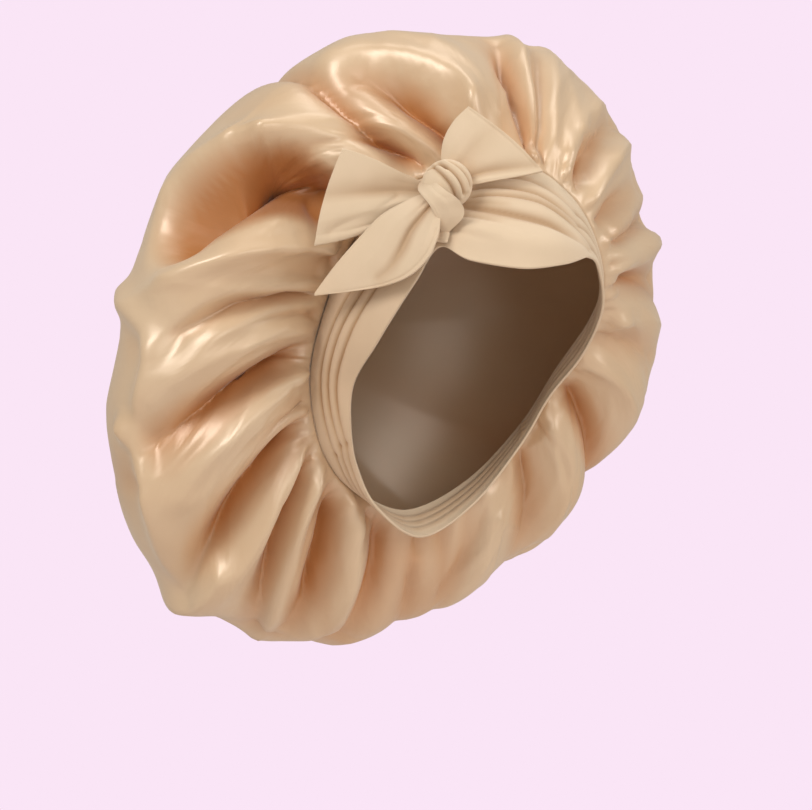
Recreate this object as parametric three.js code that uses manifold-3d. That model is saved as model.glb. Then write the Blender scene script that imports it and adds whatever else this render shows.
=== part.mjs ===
// Sleep bonnet, held up as a head holds it. Lengths are in millimetres.
// The origin is the middle of the wearer's head, +Z is up, the wearer faces -Y and +X is the wearer's left.
import * as THREE from "three";
import Module from "manifold-3d";

// Clear distance between neighbouring pieces.
const GAP = 0.3;

// Crown: the gathered satin puff.
const CROWN_WALL = 3;
const CROWN_COLUMNS = 96;
const CROWN_ROWS = 16;
const PUFF_AXIS_HEIGHT = 20;
const PUFF_BACK = new THREE.Vector3(-5, 222, 25);
const SEAM_REACH = 0.1;
const LEAST_FOLD_HALF_WIDTH = 12;
const FOLD_CRISPNESS = 1.45;
const FOLD_FADE = 0.5;
const FADE_START = 0.6;

// Band: the wide jersey strip round the hairline.
const BAND_WALL = 2.6;
const BAND_COLUMNS = 96;
const BAND_ROWS = 7;
const HEAD_RADIUS = 105;
const PLEAT_DEPTH = 1.3;
const PLEAT_WIDTH = 0.055;
const PLEAT_PLACES = [0.3, 0.52, 0.74];

// Bow: knot, two ears and two tails, laid out in a frame that faces the right temple.
const BOW_TURN = THREE.MathUtils.degToRad(-35);
const EAR_EDGE = 2.2;
const EAR_LOFT = 3;
const TAIL_EDGE = 2;
const TAIL_LOFT = 0.8;
const KNOT_COLUMNS = 20;
const KNOT_ROWS = 14;
const KNOT_CENTRE = new THREE.Vector3(-18.5, -66, 108);
const KNOT_HALF = new THREE.Vector3(16, 13, 24);
const KNOT_LEAN = THREE.MathUtils.degToRad(32);
const KNOT_STRAND_DEPTH = 1.5;

// The band's two edges, by clock angle seen from the face: 0 is the forehead, 90 the wearer's left ear.
const BAND_SECTIONS = [
  { clock: 0, face: [0, -90, 69], seam: [0, -50, 131] },
  { clock: 25, face: [27, -83, 74], seam: [28, -60, 114] },
  { clock: 45, face: [46, -70, 66], seam: [48, -60, 90] },
  { clock: 65, face: [66, -48, 42], seam: [68, -46, 60] },
  { clock: 85, face: [78, -14, 14], seam: [82, -16, 36] },
  { clock: 110, face: [76, 18, -14], seam: [85, 22, 4] },
  { clock: 135, face: [66, 36, -46], seam: [76, 50, -34] },
  { clock: 158, face: [38, 50, -84], seam: [44, 66, -70] },
  { clock: 180, face: [0, 56, -104], seam: [0, 74, -88] },
  { clock: 202, face: [-38, 50, -84], seam: [-44, 70, -72] },
  { clock: 225, face: [-60, 41, -56], seam: [-68, 64, -50] },
  { clock: 245, face: [-70, 33, -30], seam: [-79, 61, -24] },
  { clock: 262, face: [-74, 24, -4], seam: [-82, 60, 2] },
  { clock: 278, face: [-77, -4, 20], seam: [-79, 58, 24] },
  { clock: 292, face: [-75, -22, 40], seam: [-77, 48, 48] },
  { clock: 306, face: [-69, -36, 60], seam: [-74, 36, 72] },
  { clock: 320, face: [-60, -47, 80], seam: [-66, 22, 94] },
  { clock: 335, face: [-50, -66, 72], seam: [-50, 2, 118] },
  { clock: 348, face: [-26, -86, 67], seam: [-26, -26, 130] },
];

// The puff's widest line: distance from its axis, depth behind the origin, and how far the roll swells forward.
const PUFF_SECTIONS = [
  { clock: 0, rim: 198, depth: 60, roll: 30 },
  { clock: 30, rim: 210, depth: 50, roll: 30 },
  { clock: 60, rim: 186, depth: 50, roll: 30 },
  { clock: 90, rim: 184, depth: 60, roll: 30 },
  { clock: 120, rim: 174, depth: 75, roll: 25 },
  { clock: 150, rim: 178, depth: 105, roll: 20 },
  { clock: 180, rim: 192, depth: 130, roll: 20 },
  { clock: 210, rim: 202, depth: 135, roll: 25 },
  { clock: 240, rim: 193, depth: 118, roll: 30 },
  { clock: 270, rim: 180, depth: 92, roll: 30 },
  { clock: 300, rim: 181, depth: 78, roll: 30 },
  { clock: 330, rim: 191, depth: 70, roll: 30 },
];

// How far the gathers swing round on their way from the seam to the rim, in degrees, by their middle clock angle.
const GATHER_SWINGS = [
  { clock: 5, swing: 9 },
  { clock: 38, swing: 15 },
  { clock: 67, swing: 14 },
  { clock: 97, swing: 14 },
  { clock: 126, swing: 12 },
  { clock: 154, swing: 8 },
  { clock: 178, swing: -5 },
  { clock: 198, swing: -14 },
  { clock: 214, swing: -25 },
  { clock: 233, swing: -30 },
  { clock: 265, swing: -24 },
  { clock: 293, swing: -26 },
  { clock: 317, swing: -34 },
  { clock: 347, swing: -6 },
];

// Folds of the puff: from, middle and to are [clock angle, way from the seam (0) over the rim (0.5) to the back (1)].
// Width is half the fold's width at its two ends. A height below zero is a valley.
// A crispness of 2 is a soft bell and 1 a sharp crease. The fade is the part of the height that is gone at the end.
const FOLDS = [
  { name: "arch over the cave", from: [335, 0], middle: [321, 0.33], to: [302, 0.57], width: [9, 14], height: 12 },
  { name: "crease above the arch", from: [340, 0], middle: [332, 0.28], to: [338, 0.64], width: [5, 9], height: -12, crisp: 1.4 },
  { name: "cave", from: [314, 0.13], middle: [309, 0.31], to: [296, 0.52], width: [13, 30], height: -42, crisp: 3, fade: 0.3 },
  { name: "cave floor", from: [308, 0.28], middle: [303, 0.4], to: [296, 0.49], width: [11, 18], height: -12, crisp: 2 },
  { name: "fold in the cave", from: [316, 0.38], middle: [314, 0.28], to: [317, 0.17], width: [5, 7], height: 9 },
  { name: "loop in the cave", from: [309, 0.16], middle: [304, 0.23], to: [299, 0.25], width: [4, 4], height: 5 },
  { name: "shelf under the cave", from: [306, 0.1], middle: [291, 0.33], to: [278, 0.62], width: [6, 12], height: 15, crisp: 1.3, fade: 0.7 },
  { name: "first side ridge", from: [295, 0], middle: [283, 0.29], to: [270, 0.46], width: [4, 9], height: 7 },
  { name: "first side valley", from: [295, 0], middle: [284, 0.2], to: [273, 0.38], width: [4, 10], height: -7 },
  { name: "second side ridge", from: [292, 0], middle: [278, 0.23], to: [264, 0.38], width: [4, 9], height: 6 },
  { name: "third side ridge", from: [284, 0], middle: [272, 0.21], to: [260, 0.44], width: [4, 12], height: 6 },
  { name: "crease under the panel", from: [277, 0], middle: [261, 0.18], to: [251, 0.44], width: [5, 14], height: -17 },
  { name: "side spine", from: [281, 0.6], middle: [268, 0.47], to: [254, 0.52], width: [9, 10], height: 7, crisp: 1.8, fade: 0.7 },
  { name: "fold under the crease", from: [264, 0], middle: [253, 0.18], to: [240, 0.36], width: [4, 12], height: 10 },
  { name: "low spine", from: [254, 0.52], middle: [240, 0.45], to: [222, 0.5], width: [9, 10], height: 8, crisp: 1.6 },
  { name: "valley by the long fold", from: [248, 0], middle: [234, 0.2], to: [220, 0.48], width: [5, 13], height: -17 },
  { name: "low corner", from: [222, 0.36], middle: [218, 0.47], to: [216, 0.62], width: [9, 16], height: 18, crisp: 1.3 },
  { name: "long fold", from: [238, 0], middle: [223, 0.22], to: [216, 0.44], width: [5, 15], height: 11 },
  { name: "first finger valley", from: [234, 0], middle: [217, 0.2], to: [203, 0.48], width: [5, 13], height: -18 },
  { name: "first finger", from: [226, 0], middle: [212, 0.22], to: [199, 0.52], width: [4, 14], height: 13, fade: 0.2 },
  { name: "second finger valley", from: [210, 0], middle: [201, 0.2], to: [198, 0.42], width: [5, 12], height: -17 },
  { name: "second finger", from: [198, 0], middle: [193, 0.18], to: [190, 0.4], width: [5, 13], height: 9 },
  { name: "neck valley", from: [190, 0], middle: [185, 0.15], to: [186, 0.44], width: [6, 14], height: -20 },
  { name: "under neck valley", from: [176, 0], middle: [174, 0.24], to: [172, 0.5], width: [7, 16], height: -12 },
  { name: "top lobe", from: [350, 0.14], middle: [358, 0.28], to: [346, 0.5], width: [10, 26], height: 8, crisp: 1.8 },
  { name: "top lobe ridge", from: [352, 0.11], middle: [352, 0.26], to: [339, 0.44], width: [6, 14], height: 9 },
  { name: "top valley", from: [347, 0], middle: [346, 0.18], to: [340, 0.34], width: [8, 16], height: -14, crisp: 1.8 },
  { name: "brow valley", from: [4, 0], middle: [9, 0.24], to: [13, 0.42], width: [5, 9], height: -18, crisp: 1.7, fade: 0.7 },
  { name: "brow ridge", from: [4, 0], middle: [12, 0.24], to: [18, 0.48], width: [4, 9], height: 9 },
  { name: "brow crease", from: [6, 0], middle: [14, 0.22], to: [21, 0.44], width: [4, 7], height: -6 },
  { name: "temple ridge", from: [10, 0], middle: [18, 0.22], to: [26, 0.46], width: [4, 9], height: 6 },
  { name: "temple crease", from: [24, 0], middle: [31, 0.16], to: [40, 0.34], width: [4, 8], height: -8 },
  { name: "left temple ridge", from: [32, 0], middle: [35, 0.12], to: [43, 0.28], width: [5, 10], height: 8 },
  { name: "left temple valley", from: [42, 0], middle: [47, 0.12], to: [52, 0.3], width: [4, 9], height: -6 },
  { name: "left ear crease", from: [51, 0], middle: [57, 0.16], to: [62, 0.38], width: [5, 8], height: -13 },
  { name: "left ear lobe", from: [57, 0], middle: [64, 0.18], to: [69, 0.42], width: [7, 15], height: 10, crisp: 1.9, fade: 0.6 },
  { name: "valley under the lobe", from: [69, 0], middle: [71, 0.14], to: [75, 0.36], width: [5, 9], height: -13 },
  { name: "left cheek bulge", from: [80, 0], middle: [83, 0.09], to: [84, 0.13], width: [8, 8], height: 6, crisp: 2 },
  { name: "left cheek crease", from: [90, 0], middle: [92, 0.12], to: [94, 0.3], width: [5, 12], height: -8 },
  { name: "left cheek ridge", from: [97, 0], middle: [104, 0.2], to: [110, 0.42], width: [8, 20], height: 5, crisp: 1.8 },
  { name: "left jaw crease", from: [114, 0], middle: [118, 0.2], to: [124, 0.44], width: [6, 14], height: -12 },
  { name: "left jaw ridge", from: [124, 0], middle: [129, 0.22], to: [134, 0.46], width: [8, 18], height: 7 },
  { name: "left nape crease", from: [138, 0], middle: [142, 0.22], to: [148, 0.46], width: [6, 14], height: -12, fade: 0.8 },
  { name: "left nape ridge", from: [152, 0], middle: [156, 0.22], to: [162, 0.48], width: [8, 18], height: 8 },
];

// Bow pieces, in the bow's frame: a row per station on the way out from the knot, with the cloth's two edges there.
const LEFT_EAR = [
  { right: [-26, -58, 117], left: [-27, -57, 104] },
  { right: [-40, -57, 122], left: [-40, -55, 101] },
  { right: [-57, -56, 131], left: [-57, -51, 91] },
  { right: [-71, -54, 137], left: [-78, -49, 82] },
  { right: [-80, -52, 139], left: [-96, -52, 81] },
];
const RIGHT_EAR = [
  { right: [-6, -60, 118], left: [-16, -54, 128] },
  { right: [4, -62, 118], left: [-17, -56, 139] },
  { right: [20, -62, 122], left: [-13, -57, 152] },
  { right: [40, -57, 125], left: [-4, -55, 164] },
];
const LONG_TAIL = [
  { right: [-31, -66, 112], left: [-22, -74, 100] },
  { right: [-44, -66, 107], left: [-25, -83, 86] },
  { right: [-60, -62, 96], left: [-33, -84, 71] },
  { right: [-76, -54, 78], left: [-50, -75, 58] },
  { right: [-88, -44, 63], left: [-72, -56, 53] },
  { right: [-97, -36, 53], left: [-97, -37, 50] },
];
const SHORT_TAIL = [
  { right: [-24, -70, 96], left: [-18, -71, 95] },
  { right: [-24, -74, 89], left: [-17, -75, 87] },
  { right: [-24, -77, 84], left: [-19, -78, 83] },
];

const kernel = await Module();
kernel.setup();
const { Manifold, Mesh } = kernel;

function smooth(x) {
  const t = THREE.MathUtils.clamp(x, 0, 1);
  return t * t * (3 - 2 * t);
}

// Reads a list of numbers from a closed table at any clock angle, along a smooth curve through its rows.
function around(rows, clock, read) {
  const turn = THREE.MathUtils.euclideanModulo(clock, 360);
  const count = rows.length;
  let low = count - 1;
  while (low > 0 && rows[low].clock > turn) low -= 1;
  const span = (from, to) => THREE.MathUtils.euclideanModulo(rows[to].clock - rows[from].clock, 360);
  const high = (low + 1) % count;
  const before = (low + count - 1) % count;
  const after = (low + 2) % count;
  const width = span(low, high);
  const t = (turn - rows[low].clock) / width;
  const start = read(rows[low]);
  const end = read(rows[high]);
  const previous = read(rows[before]);
  const next = read(rows[after]);
  return start.map((value, k) => {
    const leave = ((end[k] - previous[k]) / span(before, high)) * width;
    const arrive = ((next[k] - value) / span(low, after)) * width;
    const turned = 3 * (end[k] - value) - 2 * leave - arrive;
    const closing = 2 * (value - end[k]) + leave + arrive;
    return value + t * (leave + t * (turned + t * closing));
  });
}

// The band's cloth at a clock angle: way across from the face edge (0) to the seam (1), before pleats.
function bandPoint(clock, across) {
  const face = new THREE.Vector3(...around(BAND_SECTIONS, clock, (row) => row.face));
  const seam = new THREE.Vector3(...around(BAND_SECTIONS, clock, (row) => row.seam));
  const swell = (face.distanceToSquared(seam) / (8 * HEAD_RADIUS)) * 4 * across * (1 - across);
  const outward = face.clone().lerp(seam, 0.5);
  outward.y -= 40;
  const chord = seam.clone().sub(face).normalize();
  outward.addScaledVector(chord, -outward.dot(chord)).normalize();
  return face.lerp(seam, across).addScaledVector(outward, swell);
}

function bandNormal(clock, across) {
  const step = 0.01;
  const along = bandPoint(clock + 1, across).sub(bandPoint(clock - 1, across));
  const over = bandPoint(clock, across + step).sub(bandPoint(clock, across - step));
  return along.cross(over).normalize();
}

// The puff's cloth before folds: forward out of the seam, over the rim and in to the middle of the back.
function puffPoint(clock, way) {
  const seam = bandPoint(clock, 1);
  const [rim, depth, roll] = around(PUFF_SECTIONS, clock, (row) => [row.rim, row.depth, row.roll]);
  const angle = THREE.MathUtils.degToRad(clock);
  const out = new THREE.Vector3(Math.sin(angle), 0, Math.cos(angle));
  const top = out.clone().multiplyScalar(rim);
  top.y = depth;
  top.z += PUFF_AXIS_HEIGHT;
  const leave = top.clone().sub(seam).multiplyScalar(0.35).add(seam);
  leave.y -= roll;
  const arrive = top.clone();
  arrive.y -= 0.45 * (60 + roll);
  if (way <= 0.5) return new THREE.CubicBezierCurve3(seam, leave, arrive, top).getPoint(2 * way);
  const back = top.distanceTo(PUFF_BACK);
  const turnOver = top.clone();
  turnOver.y += 0.42 * back;
  const close = PUFF_BACK.clone().addScaledVector(out, 0.5 * back);
  return new THREE.CubicBezierCurve3(top, turnOver, close, PUFF_BACK).getPoint(2 * way - 1);
}

function puffNormal(clock, way) {
  if (way >= 1) return new THREE.Vector3(0, 1, 0);
  const step = 0.01;
  const along = puffPoint(clock + 1, way).sub(puffPoint(clock - 1, way));
  const over = puffPoint(clock, Math.min(way + step, 1)).sub(puffPoint(clock, Math.max(way - step, 0)));
  return along.cross(over).normalize();
}

// Each fold as a run of short lines on the puff, with the half width at both ends of each line.
const FOLD_LINES = FOLDS.flatMap((fold, index) => {
  const pieces = 10;
  const station = (t) => {
    const bend = (k) => 2 * fold.middle[k] - (fold.from[k] + fold.to[k]) / 2;
    const mix = (k) => (1 - t) ** 2 * fold.from[k] + 2 * t * (1 - t) * bend(k) + t * t * fold.to[k];
    const width = THREE.MathUtils.lerp(fold.width[0], fold.width[1], t);
    const point = puffPoint(mix(0), THREE.MathUtils.clamp(mix(1), 0, 1));
    return { point, place: t, width: Math.max(width, LEAST_FOLD_HALF_WIDTH) };
  };
  return Array.from({ length: pieces }, (_, k) => {
    const start = station(k / pieces);
    const end = station((k + 1) / pieces);
    return { index, start, end, line: new THREE.Line3(start.point, end.point) };
  });
});

// Height of all the folds together at a point of the puff.
function foldHeight(point, way) {
  const nearest = FOLDS.map(() => ({ distance: Infinity, width: 1, place: 0 }));
  const foot = new THREE.Vector3();
  for (const { index, start, end, line } of FOLD_LINES) {
    const t = line.closestPointToPointParameter(point, true);
    const distance = line.at(t, foot).distanceTo(point);
    if (distance < nearest[index].distance) {
      const width = THREE.MathUtils.lerp(start.width, end.width, t);
      const place = THREE.MathUtils.lerp(start.place, end.place, t);
      nearest[index] = { distance, width, place };
    }
  }
  const total = nearest.reduce((sum, { distance, width, place }, k) => {
    const { height, crisp = FOLD_CRISPNESS, fade = FOLD_FADE } = FOLDS[k];
    const faded = 1 - fade * smooth((place - FADE_START) / (1 - FADE_START));
    return sum + height * faded * Math.exp(-((distance / width) ** crisp));
  }, 0);
  return total * smooth(way / SEAM_REACH);
}

// A closed cloth wall between two grids of points, outer and inner, each a list of columns.
function wallGeometry(outer, inner, closed) {
  const positions = [];
  const triangle = (a, b, c) => {
    if (a.distanceTo(b) < 1e-3 || b.distanceTo(c) < 1e-3 || c.distanceTo(a) < 1e-3) return;
    for (const p of [a, b, c]) positions.push(p.x, p.y, p.z);
  };
  const quad = (a, b, c, d, byFirst = true) => {
    triangle(a, b, byFirst ? c : d);
    triangle(byFirst ? a : b, c, d);
  };
  const columns = outer.length;
  const last = outer[0].length - 1;
  const spans = closed ? columns : columns - 1;
  for (let i = 0; i < spans; i += 1) {
    const n = (i + 1) % columns;
    for (let j = 0; j < last; j += 1) {
      const byFirst = outer[i][j].distanceTo(outer[n][j + 1]) <= outer[n][j].distanceTo(outer[i][j + 1]);
      quad(outer[i][j], outer[n][j], outer[n][j + 1], outer[i][j + 1], byFirst);
      quad(inner[i][j], inner[i][j + 1], inner[n][j + 1], inner[n][j], byFirst);
    }
    quad(outer[i][0], inner[i][0], inner[n][0], outer[n][0]);
    if (inner[i][last].distanceTo(inner[n][last]) > 1e-3) {
      quad(outer[n][last], inner[n][last], inner[i][last], outer[i][last]);
    }
  }
  if (!closed) {
    const far = columns - 1;
    for (let j = 0; j < last; j += 1) {
      quad(outer[0][j + 1], inner[0][j + 1], inner[0][j], outer[0][j]);
      quad(outer[far][j], inner[far][j], inner[far][j + 1], outer[far][j + 1]);
    }
  }
  const geometry = new THREE.BufferGeometry();
  geometry.setAttribute("position", new THREE.Float32BufferAttribute(positions, 3));
  return geometry;
}

function crownGeometry() {
  const outer = [];
  const inner = [];
  for (let i = 0; i < CROWN_COLUMNS; i += 1) {
    const middleClock = (360 * i) / CROWN_COLUMNS;
    const [swing] = around(GATHER_SWINGS, middleClock, (row) => [row.swing]);
    const seamClock = middleClock - swing / 2;
    const edge = bandPoint(seamClock, 1.01).sub(bandPoint(seamClock, 0.99)).normalize();
    const outerColumn = [];
    const innerColumn = [];
    for (let j = 0; j <= CROWN_ROWS; j += 1) {
      const way = j / CROWN_ROWS;
      const clock = seamClock + swing * smooth(2 * way);
      const base = puffPoint(clock, way);
      const through = bandNormal(clock, 1).lerp(puffNormal(clock, way), 0.5 + 0.5 * smooth(way / SEAM_REACH));
      through.normalize();
      const place = base.clone().addScaledVector(through, foldHeight(base, way));
      if (j === 0) place.addScaledVector(edge, 2 * GAP);
      outerColumn.push(place);
      innerColumn.push(place.clone().addScaledVector(through, -CROWN_WALL));
    }
    outer.push(outerColumn);
    inner.push(innerColumn);
  }
  return wallGeometry(outer, inner, true);
}

// The band grows by a clearance when it serves to cut a neighbour.
function bandGeometry(clearance = 0) {
  const outer = [];
  const inner = [];
  for (let i = 0; i < BAND_COLUMNS; i += 1) {
    const clock = (360 * i) / BAND_COLUMNS;
    const outerColumn = [];
    const innerColumn = [];
    for (let j = 0; j <= BAND_ROWS; j += 1) {
      const across = j / BAND_ROWS;
      const base = bandPoint(clock, across);
      const normal = bandNormal(clock, across);
      const pleats = PLEAT_PLACES.map((place) => Math.exp(-(((across - place) / PLEAT_WIDTH) ** 2)));
      const dip = PLEAT_DEPTH * pleats.reduce((sum, pleat) => sum + pleat, 0);
      outerColumn.push(base.clone().addScaledVector(normal, clearance - dip));
      innerColumn.push(base.clone().addScaledVector(normal, -BAND_WALL - clearance));
    }
    outer.push(outerColumn);
    inner.push(innerColumn);
  }
  return wallGeometry(outer, inner, true);
}

// The knot: strands of cloth pulled tight round each other, leaning with the temple.
function knotGeometry(clearance = 0) {
  const half = KNOT_HALF.clone().addScalar(clearance);
  const geometry = new THREE.SphereGeometry(1, KNOT_COLUMNS, KNOT_ROWS);
  const position = geometry.getAttribute("position");
  const point = new THREE.Vector3();
  for (let k = 0; k < position.count; k += 1) {
    point.fromBufferAttribute(position, k);
    const strand = Math.cos(4.2 * (point.x + 0.9 * point.y) - 0.6);
    const shrink = 1 - (KNOT_STRAND_DEPTH / half.x) * (0.5 - 0.5 * strand) * (1 - point.y ** 2);
    point.multiplyScalar(shrink);
    position.setXYZ(k, point.x, point.y, point.z);
  }
  geometry.rotateX(Math.PI / 2);
  geometry.scale(half.x, half.y, half.z);
  geometry.rotateX(-KNOT_LEAN);
  geometry.translate(KNOT_CENTRE.x, KNOT_CENTRE.y, KNOT_CENTRE.z);
  return geometry;
}

// A flap of doubled cloth that swells between its edges, with one crease down its length.
function flapGeometry(stations, edge, loft, crease) {
  const columns = 7;
  const rows = 3 * (stations.length - 1);
  const right = new THREE.CatmullRomCurve3(stations.map((row) => new THREE.Vector3(...row.right)));
  const left = new THREE.CatmullRomCurve3(stations.map((row) => new THREE.Vector3(...row.left)));
  const outer = [];
  const inner = [];
  for (let i = 0; i < columns; i += 1) {
    const across = i / (columns - 1);
    const outerColumn = [];
    const innerColumn = [];
    for (let j = 0; j <= rows; j += 1) {
      const along = j / rows;
      const place = left.getPoint(along).lerp(right.getPoint(along), across);
      const swell = Math.sin(Math.PI * across) * (0.4 + 0.6 * Math.sin(Math.PI * along));
      const dip = crease * Math.exp(-(((across - 0.5) / 0.16) ** 2)) * Math.sin(Math.PI * Math.min(along + 0.1, 1));
      outerColumn.push(place.clone().add(new THREE.Vector3(0, -edge / 2 - loft * swell + dip, 0)));
      innerColumn.push(place.clone().add(new THREE.Vector3(0, edge / 2 + 0.3 * loft * swell + 0.6 * dip, 0)));
    }
    outer.push(outerColumn);
    inner.push(innerColumn);
  }
  return wallGeometry(outer, inner, false);
}

function turnedWithBow(geometry) {
  return geometry.rotateZ(BOW_TURN);
}

function toSolid(geometry) {
  const position = geometry.index ? geometry.toNonIndexed().getAttribute("position") : geometry.getAttribute("position");
  const corners = new Map();
  const vertices = [];
  const triangles = [];
  for (let k = 0; k < position.count; k += 1) {
    const xyz = [position.getX(k), position.getY(k), position.getZ(k)];
    const key = xyz.map((value) => Math.round(value * 1e3)).join();
    if (!corners.has(key)) {
      corners.set(key, vertices.length / 3);
      vertices.push(...xyz);
    }
    triangles.push(corners.get(key));
  }
  const kept = [];
  for (let k = 0; k < triangles.length; k += 3) {
    const [a, b, c] = triangles.slice(k, k + 3);
    if (a !== b && b !== c && c !== a) kept.push(a, b, c);
  }
  return new Manifold(
    new Mesh({ numProp: 3, vertProperties: new Float32Array(vertices), triVerts: new Uint32Array(kept) }),
  );
}

function toGeometry(solid) {
  const { vertProperties, triVerts } = solid.getMesh();
  const geometry = new THREE.BufferGeometry();
  geometry.setAttribute("position", new THREE.BufferAttribute(vertProperties, 3));
  geometry.setIndex(new THREE.BufferAttribute(triVerts, 1));
  return geometry;
}

function largestBody(solid) {
  return solid.decompose().sort((a, b) => b.volume() - a.volume())[0];
}

function namedMesh(name, geometry, finish) {
  geometry.computeVertexNormals();
  const mesh = new THREE.Mesh(geometry, new THREE.MeshStandardMaterial(finish));
  mesh.name = name;
  return mesh;
}

const SATIN = { color: 0xe8c9a4, roughness: 0.32, metalness: 0 };
const JERSEY = { color: 0xe9cba6, roughness: 0.85, metalness: 0 };

const band = toSolid(bandGeometry());
const bandCutter = toSolid(bandGeometry(GAP));
const crown = toSolid(crownGeometry());
const knot = largestBody(toSolid(turnedWithBow(knotGeometry())).subtract(bandCutter));
const knotCutter = toSolid(turnedWithBow(knotGeometry(GAP)));
const flap = (stations, edge, loft, crease) =>
  largestBody(toSolid(turnedWithBow(flapGeometry(stations, edge, loft, crease))).subtract(knotCutter).subtract(bandCutter));

const bonnet = new THREE.Group();
bonnet.name = "sleep_bonnet";
bonnet.add(namedMesh("crown", toGeometry(crown), SATIN));
bonnet.add(namedMesh("band", toGeometry(band), JERSEY));
bonnet.add(namedMesh("knot", toGeometry(knot), JERSEY));
bonnet.add(namedMesh("bow_ear_left", toGeometry(flap(LEFT_EAR, EAR_EDGE, EAR_LOFT, 3)), JERSEY));
bonnet.add(namedMesh("bow_ear_right", toGeometry(flap(RIGHT_EAR, EAR_EDGE, EAR_LOFT, 2)), JERSEY));
bonnet.add(namedMesh("tail_long", toGeometry(flap(LONG_TAIL, TAIL_EDGE, TAIL_LOFT, 1.5)), JERSEY));
bonnet.add(namedMesh("tail_short", toGeometry(flap(SHORT_TAIL, TAIL_EDGE, TAIL_LOFT, 0)), JERSEY));

export default bonnet;
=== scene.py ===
"""Sleep bonnet in its worn form.

A gathered satin crown on a pleated jersey band, which is tied in a bow at one temple.
"""

import logging
import math
from dataclasses import dataclass, field
from enum import Enum
from typing import Callable, NamedTuple, Sequence

import bpy
import numpy as np
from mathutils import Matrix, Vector


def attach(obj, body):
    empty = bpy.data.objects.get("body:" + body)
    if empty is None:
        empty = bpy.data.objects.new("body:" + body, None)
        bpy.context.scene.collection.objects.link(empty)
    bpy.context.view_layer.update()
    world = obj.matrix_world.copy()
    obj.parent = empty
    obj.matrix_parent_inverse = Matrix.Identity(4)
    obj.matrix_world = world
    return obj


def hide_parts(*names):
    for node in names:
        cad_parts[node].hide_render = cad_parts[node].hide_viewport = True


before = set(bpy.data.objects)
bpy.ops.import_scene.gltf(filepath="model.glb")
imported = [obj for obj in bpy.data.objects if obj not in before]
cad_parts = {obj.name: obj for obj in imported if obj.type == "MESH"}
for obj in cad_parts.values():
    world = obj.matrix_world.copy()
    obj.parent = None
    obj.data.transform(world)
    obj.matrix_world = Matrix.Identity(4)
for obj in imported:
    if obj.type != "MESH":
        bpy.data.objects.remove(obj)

logging.basicConfig(level=logging.INFO, format="%(message)s")
LOG = logging.getLogger("bonnet")

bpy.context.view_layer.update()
MM = 0.001
BOW_TURN = math.radians(-35.0)
FADE_START = 0.6
POLE_START = 0.999
Triple = tuple[float, float, float]


class Body(Enum):
    """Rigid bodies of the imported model."""

    ROOT = "root"


class Slot(Enum):
    """Material slots of the record."""

    SATIN = "satin"
    JERSEY = "jersey"


class Held(Enum):
    """How a sheet of cloth is held."""

    GATHERED = "gathered"
    STRETCHED = "stretched"
    FOLDED = "folded"
    HUNG = "hung"


class BandSection(NamedTuple):
    """One section of the band: clock angle in degrees, and its two edges in millimetres."""

    clock: float
    face: Triple
    seam: Triple


class PuffSection(NamedTuple):
    """One section of the puff: its widest line and how far the roll swells forward, in millimetres."""

    clock: float
    rim: float
    depth: float
    roll: float


class GatherSwing(NamedTuple):
    """How far the gathers swing round between seam and rim, in degrees, at a middle clock angle."""

    clock: float
    swing: float


class Fold(NamedTuple):
    """One fold: three stations on its surface, half widths at both ends and height in millimetres.

    The puff's stations are (clock angle, way from seam to back). A valley's height is negative. A crispness
    of 2 is a soft bell, and 1 is a sharp crease. The fade is the part of the height that is gone at the end.
    """

    name: str
    start: tuple[float, float]
    middle: tuple[float, float]
    end: tuple[float, float]
    width: tuple[float, float]
    height: float
    crispness: float = 1.45
    fade: float = 0.5


BAND_SECTIONS = (
    BandSection(0, (0, -90, 69), (0, -50, 131)),
    BandSection(25, (27, -83, 74), (28, -60, 114)),
    BandSection(45, (46, -70, 66), (48, -60, 90)),
    BandSection(65, (66, -48, 42), (68, -46, 60)),
    BandSection(85, (78, -14, 14), (82, -16, 36)),
    BandSection(110, (76, 18, -14), (85, 22, 4)),
    BandSection(135, (66, 36, -46), (76, 50, -34)),
    BandSection(158, (38, 50, -84), (44, 66, -70)),
    BandSection(180, (0, 56, -104), (0, 74, -88)),
    BandSection(202, (-38, 50, -84), (-44, 70, -72)),
    BandSection(225, (-60, 41, -56), (-68, 64, -50)),
    BandSection(245, (-70, 33, -30), (-79, 61, -24)),
    BandSection(262, (-74, 24, -4), (-82, 60, 2)),
    BandSection(278, (-77, -4, 20), (-79, 58, 24)),
    BandSection(292, (-75, -22, 40), (-77, 48, 48)),
    BandSection(306, (-69, -36, 60), (-74, 36, 72)),
    BandSection(320, (-60, -47, 80), (-66, 22, 94)),
    BandSection(335, (-50, -66, 72), (-50, 2, 118)),
    BandSection(348, (-26, -86, 67), (-26, -26, 130)),
)

PUFF_SECTIONS = (
    PuffSection(0, 198, 60, 30),
    PuffSection(30, 210, 50, 30),
    PuffSection(60, 186, 50, 30),
    PuffSection(90, 188, 60, 30),
    PuffSection(120, 178, 75, 25),
    PuffSection(150, 178, 105, 20),
    PuffSection(180, 198, 130, 20),
    PuffSection(210, 202, 135, 25),
    PuffSection(240, 198, 118, 30),
    PuffSection(270, 180, 92, 30),
    PuffSection(300, 181, 78, 30),
    PuffSection(330, 191, 70, 30),
)

GATHER_SWINGS = (
    GatherSwing(5, 9),
    GatherSwing(38, 15),
    GatherSwing(67, 14),
    GatherSwing(97, 14),
    GatherSwing(126, 12),
    GatherSwing(154, 8),
    GatherSwing(178, -5),
    GatherSwing(198, -14),
    GatherSwing(214, -25),
    GatherSwing(233, -30),
    GatherSwing(265, -24),
    GatherSwing(293, -26),
    GatherSwing(317, -34),
    GatherSwing(347, -6),
)

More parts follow.
